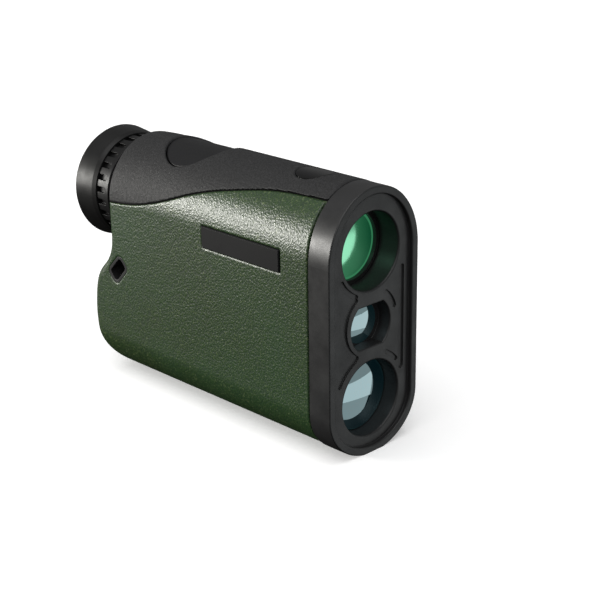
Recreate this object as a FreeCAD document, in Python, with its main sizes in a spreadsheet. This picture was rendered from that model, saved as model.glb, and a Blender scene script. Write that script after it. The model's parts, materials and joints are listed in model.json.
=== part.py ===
import FreeCAD, Part
import math, os
import Sketcher

# Hand-held laser rangefinder. X runs forward through the front face, Y to the left, Z up from the resting land. Millimetres.
os.makedirs("parts", exist_ok=True)
doc = FreeCAD.newDocument("rangefinder")
V = FreeCAD.Vector
sheet = doc.addObject("Spreadsheet::Sheet", "Sizes")
rows = [0]
val = {}


def dim(alias, value):
    rows[0] += 1
    sheet.set("A%d" % rows[0], alias)
    sheet.set("B%d" % rows[0], repr(round(float(value), 5)))
    sheet.setAlias("B%d" % rows[0], alias)
    val[alias] = float(value)


# Overall envelope and the two moulded outlines: straight sides closed by half ellipses.
dim("front_x", 55.0)
dim("rear_x", -49.95)
dim("bezel_half", 17.5)
dim("bezel_low", -0.5)
dim("bezel_high", 76.9)
dim("bezel_cap_low", 15.0)
dim("bezel_cap_high", 19.3)
dim("bezel_back_x", 47.3)
dim("shell_half", 17.3)
dim("shell_low", -0.2)
dim("shell_high", 77.05)
dim("shell_cap_low", 14.9)
dim("shell_cap_high", 19.1)
dim("shell_front_x", 46.9)
dim("wall", 1.8)
# Optical axes.
dim("axis_upper_z", 58.6)
dim("axis_middle_z", 37.2)
dim("axis_lower_z", 15.8)
dim("axis_eye_z", 57.9)
dim("axis_cell_z", 20.3)
dim("bore_upper_r", 11.0)
dim("bore_lower_r", 11.05)
dim("bore_middle_r", 7.7)
dim("bore_middle_flat", 6.05)
dim("bore_middle_seat_r", 6.05)
dim("panel_step", 1.3)
dim("rim_land", 2.3)
# Top button, badge, side plate, cord hole.
dim("button_x", -13.5)
dim("button_r", 10.9)
dim("button_gap", 0.4)
dim("button_sink", 0.7)
dim("button_thick", 1.7)
dim("button_room", 0.6)
dim("button_floor", 1.2)
dim("stem_r", 1.6)
dim("running_gap", 0.05)
dim("badge_x", 32.7)
dim("badge_r", 5.3)
dim("plate_x", 4.3)
dim("plate_long", 31.8)
dim("plate_z", 52.7)
dim("plate_tall", 6.5)
dim("leaf_x", -36.2)
dim("leaf_z", 36.2)
dim("leaf_long", 7.3)
dim("leaf_wide", 4.1)
dim("menu_x", -8.0)
dim("menu_z", 38.0)
dim("menu_r", 4.0)
doc.recompute()

made = {}


def keep(obj, node):
    obj.Label = node
    made[node] = obj
    return obj


def need(alias, value):
    if isinstance(value, str):
        return value
    if alias not in val:
        dim(alias, value)
        sheet.recompute()
    return "Sizes." + alias


def bind(obj, prop, alias, value):
    obj.setExpression(prop, need(alias, value))


ALONG = {
    "x": FreeCAD.Rotation(V(0, 1, 0), 90),
    "y": FreeCAD.Rotation(V(1, 0, 0), -90),
    "z": FreeCAD.Rotation(),
}


def place(obj, key, x, y, z, rot=None):
    obj.Placement = FreeCAD.Placement(V(0, 0, 0), rot or FreeCAD.Rotation())
    bind(obj, "Placement.Base.x", key + "_x", x)
    bind(obj, "Placement.Base.y", key + "_y", y)
    bind(obj, "Placement.Base.z", key + "_z", z)


def cyl(key, r, length, x, y, z, way="x"):
    o = doc.addObject("Part::Cylinder", key)
    bind(o, "Radius", key + "_r", r)
    bind(o, "Height", key + "_len", length)
    place(o, key, x, y, z, ALONG[way])
    return o


def cone(key, r1, r2, length, x, y, z, way="x"):
    o = doc.addObject("Part::Cone", key)
    bind(o, "Radius1", key + "_r_one", r1)
    bind(o, "Radius2", key + "_r_two", r2)
    bind(o, "Height", key + "_len", length)
    place(o, key, x, y, z, ALONG[way])
    return o


def box(key, x, y, z, lx, ly, lz):
    o = doc.addObject("Part::Box", key)
    bind(o, "Length", key + "_long", lx)
    bind(o, "Width", key + "_wide", ly)
    bind(o, "Height", key + "_tall", lz)
    place(o, key, x, y, z)
    return o


def ball(key, r, x, y, z):
    o = doc.addObject("Part::Sphere", key)
    bind(o, "Radius", key + "_ball_r", r)
    place(o, key, x, y, z)
    return o


def cut(key, base, *tools):
    tool = tools[0] if len(tools) == 1 else fuse(key + "_tools", *tools)
    o = doc.addObject("Part::Cut", key)
    o.Base = base
    o.Tool = tool
    return o


def fuse(key, *shapes):
    o = doc.addObject("Part::MultiFuse", key)
    o.Shapes = list(shapes)
    return o


def common(key, *shapes):
    o = doc.addObject("Part::MultiCommon", key)
    o.Shapes = list(shapes)
    return o


def bevel(key, base, size, test):
    doc.recompute()
    o = doc.addObject("Part::Chamfer", key)
    o.Base = base
    o.Edges = [(i + 1, size, size) for i, e in enumerate(base.Shape.Edges) if test(e)]
    return o


def tube(key, ro, ri, x, length, z, y=0.0):
    return cut(key + "_ring", cyl(key + "_out", ro, length, x, y, z), cyl(key + "_in", ri, length, x, y, z))


def lens(key, r, x, thick, z, front=0.0, back=0.0):
    """A disc of glass with a bulge of front on its +X face and back on its -X face."""
    body = [cyl(key + "_edge", r, thick + front + back, x - back, 0.0, z)]
    if front:
        rr = (r * r + front * front) / (2 * front)
        body.append(ball(key + "_front", rr, x + thick + front - rr, 0.0, z))
    if back:
        rr = (r * r + back * back) / (2 * back)
        body.append(ball(key + "_back", rr, x - back + rr, 0.0, z))
    return common(key + "_glass", *body) if len(body) > 1 else body[0]


def feature(node, shape):
    o = doc.addObject("Part::Feature", node)
    o.Shape = shape.removeSplitter()
    return keep(o, node)


def origin_plane(body, role):
    return [f for f in body.Origin.OriginFeatures if f.Role == role][0]


def cap_arc(half, cap, z, way, point):
    """Half ellipse that closes the outline at the top (way 1) or the bottom (way -1)."""
    centre, tip, side = point(0, z), point(0, z + way * cap), point(-way * half, z)
    if cap >= half:
        return Part.ArcOfEllipse(Part.Ellipse(tip, side, centre), -math.pi / 2, math.pi / 2)
    return Part.ArcOfEllipse(Part.Ellipse(side, tip, centre), 0.0, math.pi)


def outline_wire(x, half, low, cap_low, high, cap_high):
    """Closed loop in a plane of constant X."""
    za, zb = low + cap_low, high - cap_high
    at = lambda y, z: V(x, y, z)
    e1 = Part.Edge(cap_arc(half, cap_low, za, -1, at))
    e2 = Part.Edge(cap_arc(half, cap_high, zb, 1, at))
    def ends(e):
        return e.Vertexes[0].Point, e.Vertexes[-1].Point
    a1, b1 = ends(e1)
    a2, b2 = ends(e2)
    l1 = Part.makeLine(b1, a2 if abs(a2.y - b1.y) < 1 else b2)
    l2 = Part.makeLine(a1, b2 if abs(b2.y - a1.y) < 1 else a2)
    return Part.Wire(Part.__sortEdges__([e1, l1, e2, l2]))


def prism(x0, x1, half, low, cap_low, high, cap_high):
    return Part.Face(outline_wire(x0, half, low, cap_low, high, cap_high)).extrude(V(x1 - x0, 0, 0))


def skin(x0, x1, inset, drop=0.0):
    """The moulded body outline, shrunk by inset and lowered by drop."""
    s = prism(x0, x1, val["shell_half"] - inset, val["shell_low"] + inset, val["shell_cap_low"] - inset,
              val["shell_high"] - inset, val["shell_cap_high"] - inset)
    if drop:
        s.translate(V(0, 0, -drop))
    return s


def xcyl(x0, x1, r, z, y=0.0):
    return Part.makeCylinder(r, x1 - x0, V(x0, y, z), V(1, 0, 0))


def ycyl(y0, y1, r, x, z):
    return Part.makeCylinder(r, y1 - y0, V(x, y0, z), V(0, 1, 0))


def zcyl(z0, z1, r, x, y=0.0):
    return Part.makeCylinder(r, z1 - z0, V(x, y, z0), V(0, 0, 1))


def bx(x0, x1, y0, y1, z0, z1):
    return Part.makeBox(x1 - x0, y1 - y0, z1 - z0, V(x0, y0, z0))


def plan(points, y0, y1):
    """A closed XZ polygon carried along Y."""
    w = Part.makePolygon([V(a, y0, b) for a, b in points + points[:1]])
    return Part.Face(w).extrude(V(0, y1 - y0, 0))


def curve_plan(points, rest, y0, y1, lift=0.0):
    """A smooth XZ line through points, closed by the straight run rest, carried along Y."""
    c = Part.BSplineCurve()
    c.interpolate([V(a, y0, b + lift) for a, b in points])
    edges = [c.toShape()]
    tail = [V(points[-1][0], y0, points[-1][1] + lift)] + [V(a, y0, b) for a, b in rest] + [V(points[0][0], y0, points[0][1] + lift)]
    for p, q in zip(tail, tail[1:]):
        edges.append(Part.makeLine(p, q))
    return Part.Face(Part.Wire(edges)).extrude(V(0, y1 - y0, 0))


# ---------------------------------------------------------------- moulded shell, cover and their seam
seam = [(-45.0, 57.2), (-41.5, 57.25), (-37.5, 57.53), (-33.7, 57.91), (-28.85, 58.54), (-24.05, 59.48), (-19.4, 60.65), (-14.95, 62.02),
        (-10.7, 63.5), (-6.7, 64.99), (-2.85, 66.35), (0.9, 67.5), (4.6, 68.5), (8.3, 69.37), (12.0, 70.1), (17.3, 71.1),
        (22.5, 71.99), (27.75, 72.65), (33.1, 73.05), (38.6, 73.26), (44.15, 73.37), (50.0, 73.45)]
above = [(50.0, 84.0), (-45.0, 84.0)]
cover_side = curve_plan(seam, above, -20, 20, 0.2)
shell_side = curve_plan(seam, [(50.0, -5.0), (-60.0, -5.0), (-60.0, 57.0)], -20, 20, -0.2)

# Rear contour: upright wall under the eyepiece, then the rounded lobe that holds the battery.
back = [(-39.85, 49.0), (-39.85, 45.5), (-40.25, 42.8), (-41.45, 39.9), (-43.65, 37.0), (-46.25, 34.3), (-47.95, 31.6), (-49.05, 28.2),
        (-49.65, 24.6), (-49.95, 20.8), (-49.85, 17.0), (-49.35, 13.3), (-48.25, 9.9), (-46.45, 6.6), (-43.85, 3.7), (-40.55, 1.6), (-36.75, 0.3), (-32.35, -0.25)]


def rear_cut(points, y0=-20, y1=20, shift=0.0):
    c = Part.BSplineCurve()
    c.interpolate([V(a + shift, y0, b) for a, b in points])
    s, e = points[0], points[-1]
    tail = [V(e[0] + shift, y0, e[1]), V(e[0] + shift, y0, -6), V(60, y0, -6), V(60, y0, 90), V(s[0] + shift, y0, 90), V(s[0] + shift, y0, s[1])]
    edges = [c.toShape()] + [Part.makeLine(p, q) for p, q in zip(tail, tail[1:])]
    return Part.Face(Part.Wire(edges)).extrude(V(0, y1 - y0, 0))


side = rear_cut(back)
outer = skin(-51.0, val["shell_front_x"], 0.0).common(side)


def rear_edges(shape):
    out = []
    for e in shape.Edges:
        b = e.BoundBox
        m = e.valueAt((e.FirstParameter + e.LastParameter) / 2)
        if b.XMax < -30 and abs(m.x) > 33 and b.ZLength > 3 and m.z > 1 and abs(m.y) > 2:
            out.append(e)
    return out


rounded = outer
for radius in (2.5, 2.0, 1.5, 1.0):
    try:
        t = outer.makeFillet(radius, rear_edges(outer))
        if t.isValid() and t.Volume > 0.9 * outer.Volume:
            rounded = t
            dim("rear_round", radius)
            break
    except Exception:
        pass
w = val["wall"]
inner_side = rear_cut([(a + (w if b > 3 else w), max(b, 1.7)) for a, b in back if b > 3.0] + [(-38.0, 1.7)], -20, 20)
hollow = skin(-49.0, 52.0, w).common(inner_side)
rest_cut = bx(-60, 60, -20, 20, -6, 0)
shell = rounded.cut(rest_cut).cut(hollow).common(shell_side)
cover = rounded.cut(hollow).common(cover_side)

# Eyepiece hole shared by the rear wall of both mouldings.
eye_z = val["axis_eye_z"]
eye_hole = xcyl(-46, -34, 13.05, eye_z)
shell = shell.cut(eye_hole)
cover = cover.cut(eye_hole)

# Battery pocket: a collar fused inside the lobe, bored for the cap from the rear.
cz = val["axis_cell_z"]
collar = xcyl(-51, -41.9, 11.6, cz).common(skin(-51.0, 52.0, 0.6)).common(rear_cut(back, -20, 20, 0.8))
shell = shell.fuse(collar)
shell = shell.cut(xcyl(-60, -45.5, 10.2, cz)).cut(xcyl(-60, -41.9, 9.3, cz))

# Slanted passage for a wrist cord, lined by its own sleeve.
def leaf(grow, y0, y1):
    a, b, c = val["leaf_long"] / 2 + grow, val["leaf_wide"] / 2 + grow, 1.25 + grow
    s = Part.makeBox(2 * a, 2 * b, y1 - y0, V(-a, -b, 0))
    s = s.makeFillet(c, [e for e in s.Edges if e.BoundBox.ZLength > 1])
    s.rotate(V(0, 0, 0), V(0, 0, 1), 46)
    s.rotate(V(0, 0, 0), V(1, 0, 0), 90)
    s.translate(V(val["leaf_x"], y1, val["leaf_z"]))
    return s


shell = shell.cut(leaf(0.9, -20, 20))
sleeve = leaf(0.9, -17.2, 17.2).cut(leaf(0.0, -20, 20))

# Plate pocket in the right side.
px, pz = val["plate_x"], val["plate_z"]
shell = shell.cut(bx(px - 0.15, px + val["plate_long"] + 0.15, -20, -16.7, pz - 0.15, pz + val["plate_tall"] + 0.15))

# Menu key hole in the left side, with its stepped guide.
mx, mz, mr = val["menu_x"], val["menu_z"], val["menu_r"]
shell = shell.fuse(ycyl(14.0, 15.8, mr + 1.6, mx, mz)).cut(ycyl(10, 20, mr + val["running_gap"], mx, mz))

# Board bosses on the left wall, screwed from inside.
for bxx, bzz in ((-27.0, 41.5), (8.5, 41.5), (-27.0, 31.5), (8.5, 31.5)):
    shell = shell.fuse(ycyl(11.6, 15.7, 2.0, bxx, bzz)).cut(ycyl(10.8, 14.4, 0.8, bxx, bzz))

# Lugs behind the bezel that take the clamp screws.
for ly in (-1, 1):
    for lz_ in (29.2, 45.4):
        y0, y1 = sorted((9.9 * ly, 15.7 * ly))
        shell = shell.fuse(bx(43.1, 44.4, y0, y1, lz_ - 2.1, lz_ + 2.1)).cut(xcyl(43.0, 44.5, 0.95, lz_, 11.6 * ly))
feature("green_shell", shell)
feature("lanyard_sleeve", sleeve)

# Cover: button pocket, badge pocket and two hanging posts for the switch board.
bxc, br = val["button_x"], val["button_r"]
sink, thick, room, floor = val["button_sink"], val["button_thick"], val["button_room"], val["button_floor"]
full = skin(-60, 60, 0.0)
pad = zcyl(58, 84, br + 2.2, bxc).common(skin(-40, 48, 0.3)).cut(skin(-60, 60, 0.0, sink + thick + room + floor))
cover = cover.fuse(pad)
pocket = zcyl(58, 84, br + val["button_gap"], bxc).cut(skin(-60, 60, 0.0, sink + thick + room))
cover = cover.cut(pocket)
# Softened finger scoop round the button.
scoop = zcyl(58, 84, br + 0.75, bxc).cut(skin(-60, 60, 0.0, 0.4))
cover = cover.cut(scoop)
cover = cover.cut(zcyl(64, 84, val["stem_r"] + val["running_gap"], bxc))
for py in (-6.5, 6.5):
    cover = cover.fuse(zcyl(68.8, 71.5, 1.7, bxc, py)).cut(zcyl(67.1, 71.1, 0.7, bxc, py))
badge_pocket = zcyl(58, 84, val["badge_r"] + 0.15, val["badge_x"]).cut(skin(-60, 60, 0.0, 0.9))
cover = cover.cut(badge_pocket)
feature("top_cover", cover)

button = zcyl(58, 84, br, bxc).common(skin(-60, 60, 0.0, sink)).cut(skin(-60, 60, 0.0, sink + thick))
button = button.fuse(zcyl(72.1, 75.3, val["stem_r"], bxc))
feature("measure_button", button)

badge = zcyl(58, 84, val["badge_r"], val["badge_x"]).common(skin(-60, 60, 0.0, 0.12)).cut(skin(-60, 60, 0.0, 0.9))
feature("top_inlay", badge)

# Cord gasket in the seam, set back from both skins.
band = curve_plan(seam, above, -20, 20, -0.2).cut(curve_plan(seam, above, -20, 20, 0.2))
seal = skin(-39.0, val["shell_front_x"], 0.5).common(rear_cut(back, -20, 20, 0.6)).cut(skin(-60, 60, 1.5)).common(band).cut(eye_hole).common(bx(-60, 60, -20, 20, 50, 84))
parts = sorted(seal.Solids, key=lambda q: -q.Volume)
feature("seam_gasket", Part.Compound(parts[:2]) if len(parts) > 1 else parts[0])

# Thin gasket between the shell mouldings and the bezel.
ring = prism(46.9, 47.3, 17.0, 0.1, 14.6, 76.6, 18.8).cut(prism(46, 48, 15.7, 1.4, 13.3, 75.3, 17.5))
feature("bezel_gasket", ring)


# ---------------------------------------------------------------- front bezel, sketched and padded
def ellipse_outline(sk, half, low, cap_low, high, cap_high):
    za, zb = low + cap_low, high - cap_high
    at = lambda y, z: V(y, z, 0)
    sk.addGeometry(cap_arc(half, cap_low, za, -1, at), False)
    sk.addGeometry(cap_arc(half, cap_high, zb, 1, at), False)
    sk.addGeometry(Part.LineSegment(V(-half, za, 0), V(-half, zb, 0)), False)
    sk.addGeometry(Part.LineSegment(V(half, za, 0), V(half, zb, 0)), False)


def sketch(body, name, role="YZ_Plane"):
    sk = body.newObject("Sketcher::SketchObject", name)
    sk.AttachmentSupport = [(origin_plane(body, role), "")]
    sk.MapMode = "FlatFace"
    return sk


def circle(sk, y, z, r, tag, y_alias=None, z_alias=None, r_alias=None):
    i = sk.addGeometry(Part.Circle(V(y, z, 0), V(0, 0, 1), r), False)
    c = sk.addConstraint(Sketcher.Constraint("Radius", i, r))
    sk.renameConstraint(c, tag + "_r")
    if r_alias:
        sk.setExpression("Constraints." + tag + "_r", "Sizes." + r_alias)
    if z_alias:
        if abs(y) < 1e-9:
            sk.addConstraint(Sketcher.Constraint("PointOnObject", i, 3, -2))
        c = sk.addConstraint(Sketcher.Constraint("DistanceY", -1, 1, i, 3, z))
        sk.renameConstraint(c, tag + "_up")
        sk.setExpression("Constraints." + tag + "_up", "Sizes." + z_alias)
    return i


bezel = doc.addObject("PartDesign::Body", "front_bezel_body")
s1 = sketch(bezel, "bezel_outline")
ellipse_outline(s1, val["bezel_half"], val["bezel_low"], val["bezel_cap_low"], val["bezel_high"], val["bezel_cap_high"])
s1.setExpression("AttachmentOffset.Base.z", "Sizes.bezel_back_x")
p1 = bezel.newObject("PartDesign::Pad", "bezel_band")
p1.Profile = s1
p1.setExpression("Length", "Sizes.front_x - Sizes.bezel_back_x")
doc.recompute()
front_edges = ["Edge%d" % (i + 1) for i, e in enumerate(p1.Shape.Edges) if e.BoundBox.XMin > val["front_x"] - 0.01]
f1 = bezel.newObject("PartDesign::Fillet", "bezel_round")
f1.Base = (p1, front_edges)
dim("bezel_round_r", 0.35)
sheet.recompute()
f1.setExpression("Radius", "Sizes.bezel_round_r")
doc.recompute()
s2 = sketch(bezel, "bezel_plug")
ellipse_outline(s2, 15.2, 1.7, 13.0, 75.1, 17.1)
s2.setExpression("AttachmentOffset.Base.z", "Sizes.bezel_back_x")
p2 = bezel.newObject("PartDesign::Pad", "bezel_plug_pad")
p2.Profile = s2
p2.Reversed = True
dim("plug_depth", 2.8)
sheet.recompute()
p2.setExpression("Length", "Sizes.plug_depth")
doc.recompute()
s3 = sketch(bezel, "bezel_panel")
rl = val["rim_land"]
ellipse_outline(s3, val["bezel_half"] - rl, val["bezel_low"] + rl, val["bezel_cap_low"] - rl, val["bezel_high"] - rl, val["bezel_cap_high"] - rl)
s3.setExpression("AttachmentOffset.Base.z", "Sizes.front_x")
p3 = bezel.newObject("PartDesign::Pocket", "bezel_panel_cut")
p3.Profile = s3
p3.setExpression("Length", "Sizes.panel_step")
doc.recompute()
s4 = sketch(bezel, "bezel_bores")
circle(s4, 0.0, val["axis_upper_z"], val["bore_upper_r"], "upper", None, "axis_upper_z", "bore_upper_r")
circle(s4, 0.0, val["axis_lower_z"], val["bore_lower_r"], "lower", None, "axis_lower_z", "bore_lower_r")
circle(s4, 0.0, val["axis_middle_z"], val["bore_middle_seat_r"], "seat", None, "axis_middle_z", "bore_middle_seat_r")
s4.setExpression("AttachmentOffset.Base.z", "Sizes.front_x")
p4 = bezel.newObject("PartDesign::Pocket", "bezel_bore_cut")
p4.Profile = s4
p4.Type = 1
doc.recompute()
s5 = sketch(bezel, "bezel_middle")
zm, rm, fm = val["axis_middle_z"], val["bore_middle_r"], val["bore_middle_flat"]
wy = math.sqrt(rm * rm - fm * fm)
ang = math.atan2(fm, wy)
s5.addGeometry(Part.ArcOfCircle(Part.Circle(V(0, zm, 0), V(0, 0, 1), rm), -ang, ang), False)
s5.addGeometry(Part.LineSegment(V(wy, zm + fm, 0), V(-wy, zm + fm, 0)), False)
s5.addGeometry(Part.ArcOfCircle(Part.Circle(V(0, zm, 0), V(0, 0, 1), rm), math.pi - ang, math.pi + ang), False)
s5.addGeometry(Part.LineSegment(V(-wy, zm - fm, 0), V(wy, zm - fm, 0)), False)
s5.setExpression("AttachmentOffset.Base.z", "Sizes.front_x")
p5 = bezel.newObject("PartDesign::Pocket", "bezel_middle_cut")
p5.Profile = s5
dim("middle_depth", 5.6)
sheet.recompute()
p5.setExpression("Length", "Sizes.middle_depth")
doc.recompute()


def arc_groove(sk, yc, zc, r, wide, a0, a1):
    """A curved slot of round ends, angles in degrees."""
    a0, a1 = math.radians(a0), math.radians(a1)
    ro, ri = r + wide / 2, r - wide / 2
    p = lambda rad, a: V(yc + rad * math.cos(a), zc + rad * math.sin(a), 0)
    sk.addGeometry(Part.ArcOfCircle(Part.Circle(V(yc, zc, 0), V(0, 0, 1), ro), a0, a1), False)
    sk.addGeometry(Part.ArcOfCircle(Part.Circle(V(yc, zc, 0), V(0, 0, 1), ri), a0, a1), False)
    c0, c1 = p(r, a0), p(r, a1)
    sk.addGeometry(Part.ArcOfCircle(Part.Circle(c0, V(0, 0, 1), wide / 2), a0 + math.pi, a0 + 2 * math.pi), False)
    sk.addGeometry(Part.ArcOfCircle(Part.Circle(c1, V(0, 0, 1), wide / 2), a1, a1 + math.pi), False)


def line_groove(sk, y, z0, z1, wide):
    h = wide / 2
    sk.addGeometry(Part.ArcOfCircle(Part.Circle(V(y, z1, 0), V(0, 0, 1), h), 0, math.pi), False)
    sk.addGeometry(Part.ArcOfCircle(Part.Circle(V(y, z0, 0), V(0, 0, 1), h), math.pi, 2 * math.pi), False)
    sk.addGeometry(Part.LineSegment(V(y + h, z0, 0), V(y + h, z1, 0)), False)
    sk.addGeometry(Part.LineSegment(V(y - h, z1, 0), V(y - h, z0, 0)), False)


zu, zl = val["axis_upper_z"], val["axis_lower_z"]
dim("groove_depth", 0.5)
sheet.recompute()


def groove_set(name, draw):
    sk = sketch(bezel, name + "_sketch")
    draw(sk)
    sk.setExpression("AttachmentOffset.Base.z", "Sizes.front_x - Sizes.panel_step")
    p = bezel.newObject("PartDesign::Pocket", name + "_cut")
    p.Profile = sk
    p.setExpression("Length", "Sizes.groove_depth")
    doc.recompute()


def outer_grooves(sk):
    arc_groove(sk, 0.0, zu, 13.0, 1.4, 209, 243)
    arc_groove(sk, 0.0, zl, 14.2, 1.45, 116, 150)
    arc_groove(sk, 0.0, zl, 13.5, 1.2, 41, 63)
    line_groove(sk, 12.25, 22.0, 51.2, 1.8)


def ring_grooves(sk):
    arc_groove(sk, 0.0, zm + 0.5, 10.2, 1.5, 126, 236)
    arc_groove(sk, 0.0, zm + 0.5, 9.9, 1.2, 18, 53)


groove_set("outer_groove", outer_grooves)
groove_set("ring_groove", ring_grooves)
s7 = sketch(bezel, "bezel_rest")
s7.addGeometry(Part.LineSegment(V(-20, -5, 0), V(20, -5, 0)), False)
s7.addGeometry(Part.LineSegment(V(20, -5, 0), V(20, 0, 0)), False)
s7.addGeometry(Part.LineSegment(V(20, 0, 0), V(-20, 0, 0)), False)
s7.addGeometry(Part.LineSegment(V(-20, 0, 0), V(-20, -5, 0)), False)
s7.setExpression("AttachmentOffset.Base.z", "Sizes.front_x + 1")
p7 = bezel.newObject("PartDesign::Pocket", "bezel_rest_cut")
p7.Profile = s7
p7.Type = 1
# Blind holes in the plug for the four clamp screws.
s8 = sketch(bezel, "bezel_screw_holes")
for i, (yy, zz) in enumerate(((-11.6, 45.4), (11.6, 45.4), (-11.6, 29.2), (11.6, 29.2))):
    circle(s8, yy, zz, 0.9, "screw%d" % i)
s8.setExpression("AttachmentOffset.Base.z", "Sizes.bezel_back_x - Sizes.plug_depth")
p8 = bezel.newObject("PartDesign::Pocket", "bezel_screw_cut")
p8.Profile = s8
p8.Reversed = True
p8.Length = 4.0
doc.recompute()
# Seats in the back of the plug for the objective cell and the receiver cone.
s9 = sketch(bezel, "bezel_seats")
circle(s9, 0.0, val["axis_upper_z"], 12.35, "cell_seat", None, "axis_upper_z")
circle(s9, 0.0, val["axis_lower_z"], 12.35, "cone_seat", None, "axis_lower_z")
s9.setExpression("AttachmentOffset.Base.z", "Sizes.bezel_back_x - Sizes.plug_depth")
p9 = bezel.newObject("PartDesign::Pocket", "bezel_seat_cut")
p9.Profile = s9
p9.Reversed = True
p9.Length = 2.05
doc.recompute()


def soften(name, base, radius, test):
    """Round the edges of the last feature that pass the test."""
    picks = ["Edge%d" % (i + 1) for i, e in enumerate(base.Shape.Edges) if test(e)]
    if not picks:
        return base
    f = bezel.newObject("PartDesign::Fillet", name)
    f.Base = (base, picks)
    f.Radius = radius
    doc.recompute()
    if "Invalid" in f.State:
        print(name, "did not build")
        bezel.Tip = base
        doc.removeObject(f.Name)
        doc.recompute()
        return base
    return f


def in_plane(e, x):
    return abs(e.BoundBox.XMin - x) < 0.01 and abs(e.BoundBox.XMax - x) < 0.01


fx, px_ = val["front_x"], val["front_x"] - val["panel_step"]
tip = bezel.Tip
tip = soften("bore_lips", tip, 0.6, lambda e: in_plane(e, px_) and hasattr(e.Curve, "Radius") and min(abs(e.Curve.Radius - val["bore_upper_r"]), abs(e.Curve.Radius - val["bore_lower_r"])) < 0.01)
tip = soften("aperture_lip", tip, 0.45, lambda e: in_plane(e, px_) and abs(e.BoundBox.Center.y) < 8.0 and abs(e.BoundBox.Center.z - zm) < 6.5 and e.BoundBox.YMin > -7.9 and e.BoundBox.YMax < 7.9
             and all(math.hypot(v.Point.y, v.Point.z - zm) < rm + 0.05 for v in e.Vertexes))
tip = soften("rim_inner_edge", tip, 0.4, lambda e: in_plane(e, fx) and e.BoundBox.ZMax > 1.0 and max(abs(v.Point.y) for v in e.Vertexes) < val["bezel_half"] - rl + 0.01)
keep(bezel, "front_bezel")

# Blank plate on the right side and its pocket bed.
plate = bevel("plate_bevel", box("side_plate", "Sizes.plate_x", -17.65, "Sizes.plate_z", "Sizes.plate_long", 0.95, "Sizes.plate_tall"), 0.25,
              lambda e: e.BoundBox.YMax < -17.6)
keep(plate, "nameplate")

# ---------------------------------------------------------------- viewing channel
keep(cut("obj_cell_cut", fuse("obj_cell_sum", cyl("obj_cell_tube", 12.2, 12.4, 34.0, 0.0, "Sizes.axis_upper_z"), cyl("obj_cell_flange", 13.2, 1.6, 36.0, 0.0, "Sizes.axis_upper_z")),
         cyl("obj_cell_bore", 10.5, 8.4, 38.1, 0.0, "Sizes.axis_upper_z"), cyl("obj_cell_stop", 9.0, 6.0, 33.0, 0.0, "Sizes.axis_upper_z")), "objective_cell")
keep(lens("obj_front", 10.45, 42.0, 2.9, "Sizes.axis_upper_z", 1.1, 0.0), "objective_crown_lens")
keep(lens("obj_rear", 10.45, 38.15, 3.8, "Sizes.axis_upper_z", 0.0, 0.0), "objective_flint_lens")
keep(tube("obj_lock", 10.45, 9.85, 45.1, 1.25, "Sizes.axis_upper_z"), "objective_lock_ring")

def poly(node, points, y0, y1):
    return feature(node, plan(points, y0, y1))

zu = val["axis_upper_z"]
poly("half_penta_prism", [(24.0, zu - 8.4), (24.0, zu + 8.0), (15.0, zu + 8.0), (9.2, zu + 1.0), (9.2, zu - 4.0), (13.4, zu - 8.4)], -7.6, 7.6)
roof = plan([(8.6, zu - 8.4), (8.6, zu + 7.6), (2.5, zu + 8.0), (-7.4, zu + 4.5), (-7.4, zu - 8.4)], -7.6, 7.6)
roof_cut = plan([(-10, zu + 2), (12, zu + 2), (12, zu + 14), (-10, zu + 14)], -12, 12).cut(
    Part.Face(Part.makePolygon([V(-12, -7.6, zu + 2), V(-12, 7.6, zu + 2), V(-12, 0, zu + 9.6), V(-12, -7.6, zu + 2)])).extrude(V(30, 0, 0)))
feature("roof_prism", roof.cut(roof_cut))
keep(cut("prism_box_cut", box("prism_box", -8.0, -8.7, 49.0, 33.2, 17.4, 18.6), box("prism_box_in", -7.5, -7.7, 50.1, 32.2, 15.4, 16.6),
         cyl("prism_box_front", 8.0, 6.0, 22.0, 0.0, "Sizes.axis_upper_z"), cyl("prism_box_back", 7.2, 6.0, -11.0, 0.0, "Sizes.axis_eye_z")), "prism_box")
keep(cut("reticle_cut", cyl("reticle_frame", 8.6, 1.4, -12.4, 0.0, "Sizes.axis_eye_z"), cyl("reticle_hole", 7.2, 1.4, -12.4, 0.0, "Sizes.axis_eye_z")), "display_frame")
keep(cyl("display_glass", 7.2, 1.2, -12.3, 0.0, "Sizes.axis_eye_z"), "display_panel")
ry, rt = 13.3, 0.15
rib = bx(-16.4, -11.4, 8.65, ry, 55.9, 55.9 + rt).fuse(bx(-16.4, -11.4, ry - rt, ry, 42.0, 55.9)).fuse(bx(-16.4, -11.4, 11.6, ry, 42.0, 42.0 + rt))
feature("display_ribbon", rib)
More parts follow.
